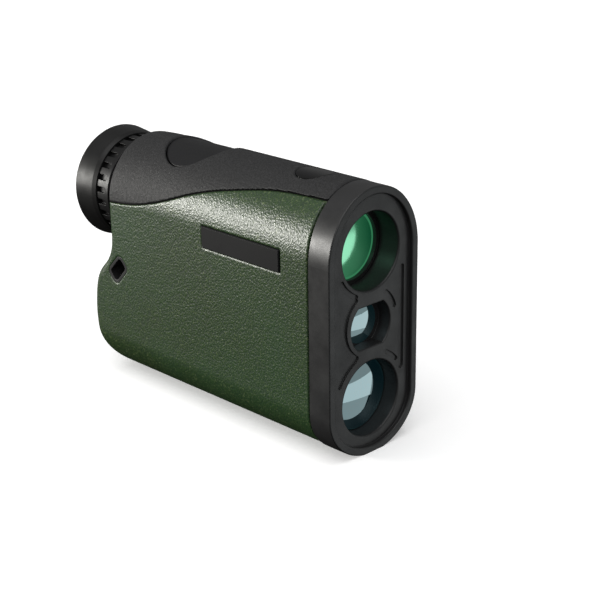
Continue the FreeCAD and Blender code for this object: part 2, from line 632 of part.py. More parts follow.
# Chassis tray under the viewing channel.
tray = cut("tray_cut", box("tray", -33.0, -12.2, 46.5, 66.5, 24.4, 1.3), box("tray_notch", -40.0, -9.7, 45.9, 17.0, 19.4, 3.0),
           cyl("tray_hole_a", 0.75, 3.0, 30.0, 10.9, 45.9, "z"), cyl("tray_hole_b", 0.75, 3.0, 30.0, -10.9, 45.9, "z"),
           cyl("tray_hole_c", 0.75, 3.0, -12.0, 10.9, 45.9, "z"), cyl("tray_hole_d", 0.75, 3.0, -12.0, -10.9, 45.9, "z"))
keep(tray, "optics_tray")
def screws(node, spots, way, shank_r, shank, head_r, head, up=1):
    """A group of small pan-head screws; each spot is the head's underside."""
    solids = []
    for i, (x, y, z) in enumerate(spots):
        d = {"x": V(1, 0, 0), "y": V(0, 1, 0), "z": V(0, 0, 1)}[way] * up
        p = V(x, y, z)
        s = Part.makeCylinder(shank_r, shank, p, d * -1).fuse(Part.makeCylinder(head_r, head, p, d))
        top = p + d * head
        slot = {"x": bx(-9, 9, -0.14, 0.14, -head_r, head_r), "y": bx(-0.14, 0.14, -9, 9, -head_r, head_r), "z": bx(-head_r, head_r, -0.14, 0.14, -9, 9)}[way]
        slot.translate(top)
        keepout = Part.makeCylinder(head_r + 1, 9, top + d * -0.35, d)
        s = s.cut(slot.common(keepout))
        solids.append(s.removeSplitter())
    return feature(node, Part.Compound(solids))


screws("tray_screws", [(30.0, 10.9, 47.8), (30.0, -10.9, 47.8), (-12.0, 10.9, 47.8), (-12.0, -10.9, 47.8)], "z", 0.75, 1.2, 1.2, 0.8)

# ---------------------------------------------------------------- eyepiece
ez = "Sizes.axis_eye_z"
keep(cut("eye_barrel_cut", fuse("eye_barrel_sum", cyl("eye_barrel_tube", 13.0, 22.5, -50.0, 0.0, ez), cyl("eye_barrel_flange", 13.9, 1.6, -37.6, 0.0, ez)),
         cyl("eye_barrel_bore", 11.6, 24.0, -51.0, 0.0, ez)), "eyepiece_barrel")
notches = []
shape = xcyl(-46.25, -40.75, 15.95, eye_z)
shape = shape.makeFillet(0.3, [e for e in shape.Edges if e.BoundBox.XMin > -40.8 and e.BoundBox.XMax > -40.8 and e.BoundBox.YLength > 5])
shape = shape.fuse(xcyl(-52.0, -46.25, 14.3, eye_z)).fuse(xcyl(-40.75, -40.1, 14.4, eye_z)).cut(xcyl(-60, -38, 13.05, eye_z))
teeth = 26
for i in range(teeth):
    n = bx(-47.5, -42.9, -0.9, 0.9, 15.0, 17.5).fuse(zcyl(15.0, 17.5, 0.9, -42.9))
    n.rotate(V(0, 0, 0), V(1, 0, 0), 360.0 / teeth * i)
    n.translate(V(0, 0, eye_z))
    notches.append(n)
shape = shape.cut(Part.Compound(notches))
feature("diopter_ring", shape)
# Rubber cup: a turned profile, wide rim to the rear.
cup = doc.addObject("PartDesign::Body", "eyecup_body")
sk = sketch(cup, "eyecup_profile", "XZ_Plane")
prof = [(-46.30, 14.35), (-46.30, 16.3), (-47.85, 16.75), (-51.55, 17.25), (-54.65, 17.6), (-55.35, 17.2), (-55.25, 16.4), (-52.95, 15.2), (-52.55, 13.1), (-52.40, 13.1), (-52.40, 14.35)]
for a, b in zip(prof, prof[1:] + prof[:1]):
    sk.addGeometry(Part.LineSegment(V(a[0], a[1], 0), V(b[0], b[1], 0)), False)
rev = cup.newObject("PartDesign::Revolution", "eyecup_turn")
rev.Profile = sk
rev.ReferenceAxis = (sk, ["H_Axis"])
rev.Angle = 360.0
cup.setExpression("Placement.Base.z", "Sizes.axis_eye_z")
doc.recompute()
keep(cup, "rubber_eyecup")
keep(cut("eye_cell_cut", cyl("eye_cell_tube", 11.55, 16.0, -48.6, 0.0, ez), cyl("eye_cell_bore", 10.0, 4.4, -49.0, 0.0, ez), cyl("eye_cell_mid", 8.6, 20.0, -50.0, 0.0, ez),
         cyl("eye_cell_front", 9.6, 4.0, -36.0, 0.0, ez)), "eye_lens_cell")
keep(lens("eye_glass", 9.95, -47.1, 2.4, ez, 0.0, 0.9), "eye_lens")
keep(tube("eye_lock", 9.95, 9.2, -48.5, 1.2, ez), "eye_lens_lock_ring")
keep(lens("field_glass", 9.55, -35.9, 2.2, ez, 1.0, 0.0), "field_lens")

# ---------------------------------------------------------------- laser emitter channel
mzx = "Sizes.axis_middle_z"
keep(lens("emit_glass", 6.0, 47.4, 2.2, mzx, 0.8, 0.0), "emitter_lens")
keep(cut("emit_tube_cut", cone("emit_tube_out", 4.6, 7.0, 30.0, 14.3, 0.0, mzx), cone("emit_tube_in", 3.4, 5.8, 30.0, 14.3, 0.0, mzx)), "emitter_tube")
keep(fuse("laser_sum", cyl("laser_can", 2.35, 3.2, 13.0, 0.0, mzx), cyl("laser_base", 2.8, 1.2, 11.8, 0.0, mzx)), "laser_diode")
keep(cut("laser_board_cut", box("laser_pcb", 10.4, -8.2, 29.9, 1.3, 16.4, 14.8), cyl("laser_pcb_hole_a", 0.9, 3.0, 10.0, 6.6, 42.6), cyl("laser_pcb_hole_b", 0.9, 3.0, 10.0, -6.6, 42.6)), "laser_board")

# ---------------------------------------------------------------- receiver channel
lz = "Sizes.axis_lower_z"
keep(lens("recv_glass", 10.75, 45.7, 2.9, lz, 1.9, 0.8), "receiver_lens")
keep(cut("recv_cone_cut", fuse("recv_cone_sum", cone("recv_cone_out", 6.4, 11.6, 24.5, 17.0, 0.0, lz), cyl("recv_cone_lip", 12.2, 5.0, 41.4, 0.0, lz)),
         cone("recv_cone_in", 5.0, 10.0, 25.6, 16.9, 0.0, lz), cyl("recv_cone_seat", 10.8, 6.0, 44.4, 0.0, lz)), "receiver_cone")
keep(cyl("recv_filter", 4.9, 0.8, 17.4, 0.0, lz), "receiver_filter")
keep(fuse("apd_sum", cyl("apd_can", 4.0, 2.6, 14.3, 0.0, lz), cyl("apd_base", 4.6, 0.7, 13.6, 0.0, lz)), "photodiode")
keep(box("recv_pcb", 12.2, -9.2, 6.6, 1.3, 18.4, 18.6), "receiver_board")

# ---------------------------------------------------------------- electronics
board = cut("main_board_cut", box("main_pcb", -31.0, 10.4, 29.4, 41.0, 1.2, 14.4),
            cyl("main_pcb_hole_a", 0.8, 3.0, -27.0, 9.8, 41.5, "y"), cyl("main_pcb_hole_b", 0.8, 3.0, 8.5, 9.8, 41.5, "y"),
            cyl("main_pcb_hole_c", 0.8, 3.0, -27.0, 9.8, 31.5, "y"), cyl("main_pcb_hole_d", 0.8, 3.0, 8.5, 9.8, 31.5, "y"))
keep(board, "main_board")
screws("board_screws", [(-27.0, 10.4, 41.5), (8.5, 10.4, 41.5), (-27.0, 10.4, 31.5), (8.5, 10.4, 31.5)], "y", 0.75, 3.6, 1.4, 0.8, -1)
keep(box("cpu", -22.0, 9.4, 32.4, 8.0, 1.0, 8.0), "processor_chip")
keep(box("memory", -2.5, 9.6, 34.5, 5.0, 0.8, 4.0), "timing_chip")
keep(cyl("storage_can", 2.6, 9.0, -13.5, 7.75, 32.4), "storage_capacitor")
keep(box("power_pcb", -12.0, -9.6, 7.2, 22.0, 19.2, 1.2), "power_board")
keep(cut("choke_ring", cyl("choke_out", 4.0, 3.0, 0.0, -3.6, 8.4, "z"), cyl("choke_in", 1.8, 3.0, 0.0, -3.6, 8.4, "z")), "power_choke")
keep(cyl("power_can", 2.5, 6.5, 1.0, 5.0, 8.4, "z"), "power_capacitor")
# Tact switch under the measure button.
keep(cut("sw_board_cut", box("switch_pcb", -18.0, -8.4, 67.8, 9.0, 16.8, 1.0), cyl("sw_hole_a", 0.75, 3.0, "Sizes.button_x", -6.5, 67.1, "z"), cyl("sw_hole_b", 0.75, 3.0, "Sizes.button_x", 6.5, 67.1, "z")), "switch_board")
screws("switch_board_screws", [(-13.5, -6.5, 67.8), (-13.5, 6.5, 67.8)], "z", 0.65, 3.2, 1.3, 0.8, -1)
keep(cut("sw_body_cut", box("sw_body", -16.5, -3.0, 68.8, 6.0, 6.0, 2.6), cyl("sw_well", 1.25, 2.0, "Sizes.button_x", 0.0, 69.6, "z")), "measure_switch")
keep(cyl("sw_plunger", 1.2, 1.8, "Sizes.button_x", 0.0, 70.3, "z"), "measure_switch_plunger")

# ---------------------------------------------------------------- menu key on the left side
key = ycyl(13.8, 17.75, mr, mx, mz).fuse(ycyl(13.2, 13.9, mr + 1.0, mx, mz))
key = key.makeFillet(0.5, [e for e in key.Edges if e.BoundBox.YMin > 17.7])
feature("menu_key", key)
keep(cut("menu_sw_cut", box("menu_sw", -10.5, 11.6, 35.5, 5.0, 1.0, 5.0), cyl("menu_well", 1.05, 2.0, "Sizes.menu_x", 11.7, "Sizes.menu_z", "y")), "menu_switch")
keep(cyl("menu_pin", 1.0, 1.0, "Sizes.menu_x", 12.2, "Sizes.menu_z", "y"), "menu_switch_plunger")

# ---------------------------------------------------------------- battery and cap
bz = "Sizes.axis_cell_z"
keep(cut("cell_tube_cut", cyl("cell_tube_out", 9.2, 29.4, -41.8, 0.0, bz), cyl("cell_tube_in", 7.9, 27.8, -41.8, 0.0, bz)), "battery_tube")
keep(cut("cell_sum_b", fuse("cell_sum", cyl("cell_can", 7.8, 26.0, -41.1, 0.0, bz), cyl("cell_nub", 3.2, 0.9, -15.1, 0.0, bz)), cyl("cell_dimple", 6.6, 0.15, -41.1, 0.0, bz)), "battery")
keep(cyl("front_contact", 6.0, 0.2, -14.2, 0.0, bz), "battery_contact")
cap = xcyl(-50.2, -45.6, 10.15, cz).fuse(xcyl(-45.6, -43.3, 9.1, cz))
cap = cap.cut(xcyl(-44.7, -42.5, 7.6, cz))
cap = cap.makeFillet(0.6, [e for e in cap.Edges if e.BoundBox.XMax < -50.1])
cap = cap.cut(bx(-51.5, -48.9, -6.5, 6.5, cz - 0.9, cz + 0.9))
for i in range(24):
    n = xcyl(-51.0, -48.1, 0.45, cz + 10.3)
    n.rotate(V(0, 0, cz), V(1, 0, 0), 15.0 * i)
    cap = cap.cut(n)
cap = cap.cut(xcyl(-45.4, -44.4, 11, cz).cut(xcyl(-45.4, -44.4, 8.4, cz)))
feature("battery_cap", cap)
ring = Part.makeTorus(8.8, 0.4, V(-44.9, 0, cz), V(1, 0, 0))
feature("cap_seal_ring", ring)
spring = cut("cap_contact_cut", cone("cap_contact_cone", 6.6, 3.4, 3.3, -44.6, 0.0, bz), cone("cap_contact_in", 6.2, 3.0, 3.3, -44.6, 0.0, bz))
keep(spring, "cap_contact_spring")

# Clamp screws that pull the bezel onto the shell's inner lugs.
screws("bezel_screws", [(43.1, -11.6, 45.4), (43.1, 11.6, 45.4), (43.1, -11.6, 29.2), (43.1, 11.6, 29.2)], "x", 0.85, 4.0, 1.6, 1.0, -1)

doc.recompute()
bad = []
for o in doc.Objects:
    if any(t in ("Invalid", "Error") for t in o.State):
        bad.append((o.Name, o.State))
for node, o in made.items():
    if o.Shape.isNull() or not o.Shape.isValid() or not o.Shape.Solids:
        bad.append((node, "shape"))
if bad:
    raise SystemExit("objects that failed: %r" % bad)
for node, o in sorted(made.items()):
    o.Shape.exportStep("parts/%s.step" % node)
    print(node, len(o.Shape.Solids), round(o.Shape.Volume, 2), [round(v, 2) for v in (o.Shape.BoundBox.XMin, o.Shape.BoundBox.XMax, o.Shape.BoundBox.YMin, o.Shape.BoundBox.YMax, o.Shape.BoundBox.ZMin, o.Shape.BoundBox.ZMax)])
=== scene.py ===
import bpy, bmesh, json, math
import numpy as np
from mathutils import Vector, Matrix
from mathutils.kdtree import KDTree


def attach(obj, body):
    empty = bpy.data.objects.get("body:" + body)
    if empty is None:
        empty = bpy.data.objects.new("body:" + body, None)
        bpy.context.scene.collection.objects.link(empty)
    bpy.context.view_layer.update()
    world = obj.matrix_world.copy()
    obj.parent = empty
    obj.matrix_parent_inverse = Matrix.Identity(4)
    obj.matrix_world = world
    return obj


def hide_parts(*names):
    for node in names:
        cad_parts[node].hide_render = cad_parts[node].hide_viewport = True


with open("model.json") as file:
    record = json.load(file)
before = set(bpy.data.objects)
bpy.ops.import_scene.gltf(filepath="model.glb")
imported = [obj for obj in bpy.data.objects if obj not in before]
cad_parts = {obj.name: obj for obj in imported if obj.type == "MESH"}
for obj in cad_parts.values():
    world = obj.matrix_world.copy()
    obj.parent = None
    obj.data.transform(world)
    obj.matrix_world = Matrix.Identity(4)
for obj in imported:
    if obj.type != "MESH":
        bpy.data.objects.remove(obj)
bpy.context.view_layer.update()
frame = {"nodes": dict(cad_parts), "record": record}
nodes = frame["nodes"]
scene = bpy.context.scene


# ------------------------------------------------------------------ node helpers
class Tree:
    def __init__(self, name):
        self.m = bpy.data.materials.new(name)
        self.m.use_nodes = True
        self.t = self.m.node_tree
        self.t.nodes.clear()
        self.out = self.t.nodes.new("ShaderNodeOutputMaterial")
        self.p = self.t.nodes.new("ShaderNodeBsdfPrincipled")
        self.t.links.new(self.p.outputs[0], self.out.inputs["Surface"])
        self.co = self.t.nodes.new("ShaderNodeTexCoord").outputs["Object"]

    def n(self, kind, **kw):
        o = self.t.nodes.new(kind)
        for k, v in kw.items():
            if k in o.inputs and not hasattr(o, k):
                self.put(o.inputs[k], v)
            elif hasattr(o, k):
                setattr(o, k, v)
            else:
                self.put(o.inputs[k], v)
        return o

    def put(self, socket, v):
        if isinstance(v, bpy.types.NodeSocket):
            self.t.links.new(v, socket)
        else:
            socket.default_value = v

    def math(self, op, a, b=0.0, c=None, clamp=False):
        o = self.t.nodes.new("ShaderNodeMath")
        o.operation = op
        o.use_clamp = clamp
        self.put(o.inputs[0], a)
        self.put(o.inputs[1], b)
        if c is not None:
            self.put(o.inputs[2], c)
        return o.outputs[0]

    def noise(self, scale, detail=2.0, rough=0.5, co=None, distort=0.0):
        o = self.t.nodes.new("ShaderNodeTexNoise")
        self.put(o.inputs["Vector"], co or self.co)
        o.inputs["Scale"].default_value = scale
        o.inputs["Detail"].default_value = detail
        o.inputs["Roughness"].default_value = rough
        o.inputs["Distortion"].default_value = distort
        return o.outputs["Fac"]

    def voronoi(self, scale, feature="F1", co=None, rand=1.0, smooth=None):
        o = self.t.nodes.new("ShaderNodeTexVoronoi")
        o.feature = feature
        self.put(o.inputs["Vector"], co or self.co)
        o.inputs["Scale"].default_value = scale
        if "Randomness" in o.inputs:
            o.inputs["Randomness"].default_value = rand
        if smooth is not None and "Smoothness" in o.inputs:
            o.inputs["Smoothness"].default_value = smooth
        return o.outputs["Distance"]

    def ramp(self, v, a, b, ca, cb, mid=None):
        o = self.t.nodes.new("ShaderNodeValToRGB")
        self.put(o.inputs[0], v)
        e = o.color_ramp.elements
        e[0].position, e[1].position = a, b
        e[0].color, e[1].color = (*ca, 1) if len(ca) == 3 else ca, (*cb, 1) if len(cb) == 3 else cb
        if mid:
            x = e.new(mid[0])
            x.color = (*mid[1], 1)
        return o.outputs[0]

    def span(self, v, lo, hi, to_lo, to_hi):
        o = self.t.nodes.new("ShaderNodeMapRange")
        self.put(o.inputs[0], v)
        for i, x in enumerate((lo, hi, to_lo, to_hi)):
            o.inputs[i + 1].default_value = x
        return o.outputs[0]

    def mix(self, f, a, b, kind="MIX"):
        o = self.t.nodes.new("ShaderNodeMix")
        o.data_type = "RGBA"
        o.blend_type = kind
        self.put(o.inputs[0], f)
        for s, v in ((o.inputs[6], a), (o.inputs[7], b)):
            if not isinstance(v, bpy.types.NodeSocket):
                v = (*v, 1.0) if len(v) == 3 else v
            self.put(s, v)
        return o.outputs[2]

    def bump(self, h, strength, distance, normal=None):
        o = self.t.nodes.new("ShaderNodeBump")
        o.inputs["Strength"].default_value = strength
        o.inputs["Distance"].default_value = distance
        self.put(o.inputs["Height"], h)
        if normal is not None:
            self.put(o.inputs["Normal"], normal)
        return o.outputs[0]

    def bevel(self, radius, samples=6):
        o = self.t.nodes.new("ShaderNodeBevel")
        o.samples = samples
        o.inputs["Radius"].default_value = radius
        return o.outputs[0]

    def stretch(self, sx, sy, sz, rot=(0, 0, 0), co=None):
        o = self.t.nodes.new("ShaderNodeMapping")
        self.put(o.inputs["Vector"], co or self.co)
        o.inputs["Scale"].default_value = (sx, sy, sz)
        o.inputs["Rotation"].default_value = rot
        return o.outputs[0]

    def edge(self, radius):
        """1 on sharp edges, 0 on open faces."""
        bev = self.bevel(radius, 4)
        g = self.t.nodes.new("ShaderNodeNewGeometry").outputs["Normal"]
        d = self.t.nodes.new("ShaderNodeVectorMath")
        d.operation = "DOT_PRODUCT"
        self.put(d.inputs[0], bev)
        self.put(d.inputs[1], g)
        return self.span(d.outputs["Value"], 0.995, 0.85, 0.0, 1.0)

    def set(self, **kw):
        for k, v in kw.items():
            k = k.replace("_", " ")
            s = self.p.inputs[k]
            if not isinstance(v, bpy.types.NodeSocket) and isinstance(v, tuple) and len(v) == 3 and len(s.default_value) == 4:
                v = (*v, 1.0)
            self.put(s, v)
        return self.m


def srgb(r, g, b):
    return tuple(((c / 255) / 12.92 if c / 255 <= 0.04045 else ((c / 255 + 0.055) / 1.055) ** 2.4) for c in (r, g, b))


def moulded(name, colour, rough, grain=1500.0, depth=0.00002, strength=0.5, edge_wear_and_highlight=0.0, edge_r=0.0002, vary=0.12, specular=0.5, coat=0.0):
    """Moulded plastic or rubber: fine texture, cloudy tone, softened edges, and a lighter colour along sharp edges that
    is partly rubbed wear and partly painted highlight.
    """
    t = Tree(name)
    big = t.noise(38.0, 3, 0.55)
    tone = t.span(big, 0.3, 0.7, 1 - vary, 1 + vary)
    c = t.mix(1.0, colour, t.n("ShaderNodeCombineColor", Red=tone, Green=tone, Blue=tone).outputs[0], "MULTIPLY")
    fine = t.noise(grain, 3, 0.6)
    nrm = t.bump(fine, strength, depth, t.bevel(edge_r, 6) if edge_r else None)
    if edge_wear_and_highlight:
        # lighter colour along sharp edges, broken up by noise: partly rubbed wear, partly painted edge highlight
        e = t.math("MULTIPLY", t.edge(edge_r * 1.6), t.span(t.noise(420.0, 4, 0.65), 0.42, 0.62, 0.0, edge_wear_and_highlight))
        c = t.mix(e, c, tuple(min(1.0, v * 3.2 + 0.02) for v in colour))
    r = t.math("ADD", t.span(t.noise(160.0, 4, 0.6), 0.3, 0.7, rough - 0.06, rough + 0.06), t.span(fine, 0.3, 0.7, -0.03, 0.03), clamp=True)
    t.set(Base_Color=c, Roughness=r, Normal=nrm, Specular_IOR_Level=specular)
    if coat:
        t.set(Coat_Weight=coat, Coat_Roughness=0.15)
    return t.m


def metal(name, colour, rough, streak=(30, 30, 1200), edge_r=0.00008):
    t = Tree(name)
    s = t.noise(1.0, 3, 0.6, t.stretch(*streak))
    r = t.span(s, 0.3, 0.7, max(0.05, rough - 0.1), rough + 0.1)
    c = t.mix(t.span(t.noise(90.0, 3), 0.3, 0.7, 0.0, 0.35), colour, tuple(v * 0.75 for v in colour))
    return t.set(Base_Color=c, Metallic=1.0, Roughness=r, Normal=t.bump(s, 0.15, 0.00001, t.bevel(edge_r, 4)))


mats = {}
WORLD, SIDE, FRONT, SUN = 0.25, 15.5, 1.9, 1.7
# ------------------------------------------------------------------ materials
def armour():
    """Green rubber armour: leather-like pebbles, with painted shade darkening the valleys and pale specks of painted
    highlight, satin on the tops.
    """
    t = Tree("green_armour")
    warp = t.n("ShaderNodeVectorMath", operation="ADD")
    t.put(warp.inputs[0], t.co)
    nn = t.n("ShaderNodeTexNoise")
    t.put(nn.inputs["Vector"], t.co)
    nn.inputs["Scale"].default_value = 900.0
    nn.inputs["Detail"].default_value = 2.0
    sc = t.n("ShaderNodeVectorMath", operation="SCALE")
    t.put(sc.inputs[0], nn.outputs["Color"])
    sc.inputs["Scale"].default_value = 0.00055
    t.put(warp.inputs[1], sc.outputs[0])
    w = warp.outputs[0]
    cell = t.voronoi(2100.0, "SMOOTH_F1", t.stretch(1.0, 1.0, 0.8, (0, 0.6, 0), w), 1.0, 0.6)
    fine = t.noise(3200.0, 3, 0.6)
    h = t.math("ADD", t.span(cell, 0.05, 0.75, 1.0, 0.0), t.math("MULTIPLY", fine, 0.35))
    cloud = t.noise(26.0, 4, 0.6)
    deep, mid, pale = (0.009, 0.024, 0.006), (0.029, 0.056, 0.014), (0.200, 0.240, 0.110)
    # painted shade: the colour darkens from the pebble tops (mid) into the valleys (deep)
    c = t.mix(t.span(h, 0.35, 1.0, 0.0, 1.0), deep, mid)
    # painted highlight: pale specks scattered over the grain stand in for glints on the pebbles
    c = t.mix(t.span(t.noise(1500.0, 3, 0.6), 0.56, 0.74, 0.0, 0.6), c, pale)
    c = t.mix(t.span(cloud, 0.35, 0.65, 0.0, 0.3), c, (0.018, 0.060, 0.022))
    r = t.span(h, 0.3, 1.1, 0.42, 0.28)
    n = t.bump(h, 0.6, 0.00010, t.bevel(0.0003, 6))
    return t.set(Base_Color=c, Roughness=r, Normal=n, Specular_IOR_Level=0.55)


def grained(name, colour, rough, specular):
    """Spark-eroded moulding: close matte grain; the colour is painted lighter on the grain tops and darker in the pits,
    a painted highlight and shade.
    """
    t = Tree(name)
    g = t.noise(1500.0, 4, 0.7)
    g2 = t.voronoi(2300.0, "F1", t.stretch(1.0, 1.0, 1.0))
    h = t.math("ADD", t.span(g, 0.3, 0.7, 0.0, 1.0), t.math("MULTIPLY", t.span(g2, 0.1, 0.6, 1.0, 0.0), 0.5))
    # painted highlight and shade: colour multiplied up to 1.5 on the grain tops and down to 0.62 in the pits
    tone = t.span(h, 0.3, 1.2, 0.62, 1.5)
    c = t.mix(1.0, colour, t.n("ShaderNodeCombineColor", Red=tone, Green=tone, Blue=tone).outputs[0], "MULTIPLY")
    r = t.span(h, 0.3, 1.2, rough + 0.08, rough - 0.08)
    n = t.bump(h, 0.8, 0.00009, t.bevel(0.0003, 6))
    return t.set(Base_Color=c, Roughness=r, Normal=n, Specular_IOR_Level=specular)


def coated(name, face, deep, coat, rough=0.015, painted_glow=None, axis_z=0.0, rim=(0.0, 1.0)):
    """Polished glass with a mirror-like coating: a tinted mirror with faint film clouds, wipe marks and dust.
    The glass body is given a painted glow, an emission that stands in for light and reflections in the lens: stronger
    on the -Y side than on the +Y side, with a painted bright band along its ground rim."""
    t = Tree(name)
    dust = t.noise(1500.0, 4, 0.65)
    wipe = t.noise(1.0, 3, 0.6, t.stretch(90, 420, 130, (0.5, 0.2, 0.1)))
    r = t.math("ADD", t.span(dust, 0.5, 0.85, rough, rough + 0.035), t.span(wipe, 0.4, 0.8, 0.0, 0.02))
    c = t.mix(t.span(t.noise(30.0, 2, 0.5), 0.3, 0.7, 0.0, 0.35), face, deep)
    # painted glow: emission graded from a bright -Y side to a dark +Y side, with a painted bright band along the rim,
    # standing in for light and reflections
    if painted_glow:
        sep = t.n("ShaderNodeSeparateXYZ")
        t.put(sep.inputs[0], t.co)
        dy, dz = sep.outputs["Y"], t.math("SUBTRACT", sep.outputs["Z"], axis_z)
        rad = t.math("SQRT", t.math("ADD", t.math("MULTIPLY", dy, dy), t.math("MULTIPLY", dz, dz)))
        band = t.math("MULTIPLY", t.span(rad, rim[0], rim[0] + 0.00015, 0.0, 1.0), t.span(rad, rim[1] - 0.0001, rim[1] + 0.0001, 1.0, 0.35))
        side = t.span(dy, -0.006, 0.009, 1.0, 0.0)
        e = t.mix(side, painted_glow[1], painted_glow[0])
        e = t.mix(band, e, painted_glow[2])
        t.set(Emission_Color=e, Emission_Strength=1.0)
    return t.set(Base_Color=c, Metallic=1.0, Roughness=r, Normal=t.bump(wipe, 0.02, 0.00001), Coat_Weight=coat, Coat_Roughness=rough, Coat_IOR=1.7)


def clear(name, tint=(0.9, 0.97, 0.95), rough=0.01):
    t = Tree(name)
    r = t.span(t.noise(700.0, 4, 0.6), 0.4, 0.8, rough, rough + 0.02)
    return t.set(Base_Color=tint, Roughness=r, IOR=1.52, Transmission_Weight=0.96)


def board():
    t = Tree("board_green")
    tr = t.n("ShaderNodeTexBrick")
    t.put(tr.inputs["Vector"], t.stretch(600, 600, 600))
    tr.inputs["Color1"].default_value = (0.02, 0.11, 0.04, 1)
    tr.inputs["Color2"].default_value = (0.025, 0.16, 0.055, 1)
    tr.inputs["Mortar"].default_value = (0.10, 0.26, 0.10, 1)
    return t.set(Base_Color=tr.outputs["Color"], Roughness=0.35, Normal=t.bump(tr.outputs["Fac"], 0.3, 0.00002))


mats = {
    "green_armour": armour(),
    "cover_black": grained("cover_black", (0.0185, 0.0185, 0.0192), 0.55, 0.28),
    # the eighth argument of moulded sets the lighter edge colour: rubbed wear and painted edge highlight
    "bezel_black": moulded("bezel_black", (0.0145, 0.0145, 0.0150), 0.40, 3200.0, 0.000012, 0.35, 0.18, 0.00025, 0.08, 0.42),
    "seal_rubber": moulded("seal_rubber", (0.001, 0.001, 0.001), 0.8, 2000.0, 0.00002, 0.4, 0.0, 0.0, 0.1, 0.1),
    "plate_black": moulded("plate_black", (0.0065, 0.0065, 0.007), 0.55, 2600.0, 0.00001, 0.3, 0.0, 0.00015, 0.1, 0.16),
    "badge_gloss": moulded("badge_gloss", (0.002, 0.002, 0.0022), 0.2, 1400.0, 0.000003, 0.2, 0.0, 0.00015, 0.1, 0.18),
    "button_rubber": moulded("button_rubber", (0.007, 0.007, 0.0078), 0.5, 2200.0, 0.00002, 0.4, 0.1, 0.0003, 0.12, 0.25),
    "eyecup_rubber": moulded("eyecup_rubber", (0.0045, 0.0045, 0.0045), 0.42, 1900.0, 0.00002, 0.35, 0.12, 0.0003, 0.12, 0.25),
    "ring_black": moulded("ring_black", (0.0050, 0.0050, 0.0052), 0.42, 1900.0, 0.00002, 0.35, 0.35, 0.00022, 0.12, 0.2),
    "anodised_black": moulded("anodised_black", (0.004, 0.004, 0.004), 0.5, 2600.0, 0.000008, 0.3, 0.1, 0.0001, 0.1, 0.5),
    # the tuple of three colours is the painted glow of the lens: -Y side, +Y side and rim band
    "green_coated_glass": coated("green_coated_glass", (0.16, 0.50, 0.30), (0.11, 0.44, 0.25), 1.0, 0.14, ((0.045, 0.21, 0.10), (0.003, 0.062, 0.024), (0.035, 0.20, 0.09)), 0.0586, (0.0091, 0.0099)),
    "blue_coated_glass": coated("blue_coated_glass", (0.28, 0.39, 0.41), (0.22, 0.34, 0.37), 0.2, 0.012, ((0.001, 0.006, 0.008), (0.001, 0.006, 0.008), (0.004, 0.014, 0.016)), 0.0158, (0.0104, 0.0107)),
    "clear_glass": clear("clear_glass"),
    "filter_glass": clear("filter_glass", (0.35, 0.03, 0.03)),
    "inner_plastic": moulded("inner_plastic", srgb(26, 26, 27), 0.6, 1500.0, 0.00002),
    "ribbon_amber": moulded("ribbon_amber", srgb(176, 102, 30), 0.35, 1200.0, 0.00001, 0.2),
    "board_green": board(),
    "chip_black": moulded("chip_black", srgb(24, 24, 26), 0.55, 2600.0, 0.00001, 0.3),
    "capacitor_can": metal("capacitor_can", (0.5, 0.51, 0.53), 0.3),
    "ferrite_grey": moulded("ferrite_grey", srgb(70, 70, 72), 0.6, 1200.0),
    "switch_plunger": moulded("switch_plunger", srgb(196, 192, 182), 0.4, 1200.0),
    "brass_can": metal("brass_can", (0.8, 0.62, 0.3), 0.25),
    "battery_can": metal("battery_can", (0.55, 0.56, 0.58), 0.28, (1200, 30, 30)),
    "contact_brass": metal("contact_brass", (0.8, 0.65, 0.36), 0.3),
    "spring_steel": metal("spring_steel", (0.62, 0.62, 0.63), 0.25),
    "cap_black": moulded("cap_black", srgb(36, 36, 37), 0.45, 2600.0, 0.000012, 0.3, 0.25, 0.0002, 0.1, 0.5),
    "screw_steel": metal("screw_steel", (0.58, 0.58, 0.6), 0.3),
}
slots = {s["node"]: s["material_slot"] for s in frame["record"]["subparts"]}


def dress(obj, slot):
    obj.data.materials.clear()
    obj.data.materials.append(mats[slot])


for name, o in nodes.items():
    dress(o, slots[name])


# ------------------------------------------------------------------ moulded skins
def soft_copy(node, size):
    """A finely and evenly meshed copy of a CAD node with its sharp corners eased."""
    o = bpy.data.objects.new(node + "_skin", nodes[node].data.copy())
    scene.collection.objects.link(o)
    m = o.modifiers.new("even", "REMESH")
    m.mode = "VOXEL"
    m.voxel_size = size
    bpy.context.view_layer.update()
    me = bpy.data.meshes.new_from_object(o.evaluated_get(bpy.context.evaluated_depsgraph_get()))
    o.modifiers.clear()
    o.data = me
    me.polygons.foreach_set("use_smooth", np.ones(len(me.polygons), bool))
    co = np.zeros(len(me.vertices) * 3, np.float32)
    me.vertices.foreach_get("co", co)
    no = np.zeros(len(me.vertices) * 3, np.float32)
    me.vertices.foreach_get("normal", no)
    return o, co.reshape(-1, 3).astype(float), no.reshape(-1, 3).astype(float)


def put_back(o, co):
    o.data.vertices.foreach_set("co", co.astype(np.float32).ravel())
    o.data.update()


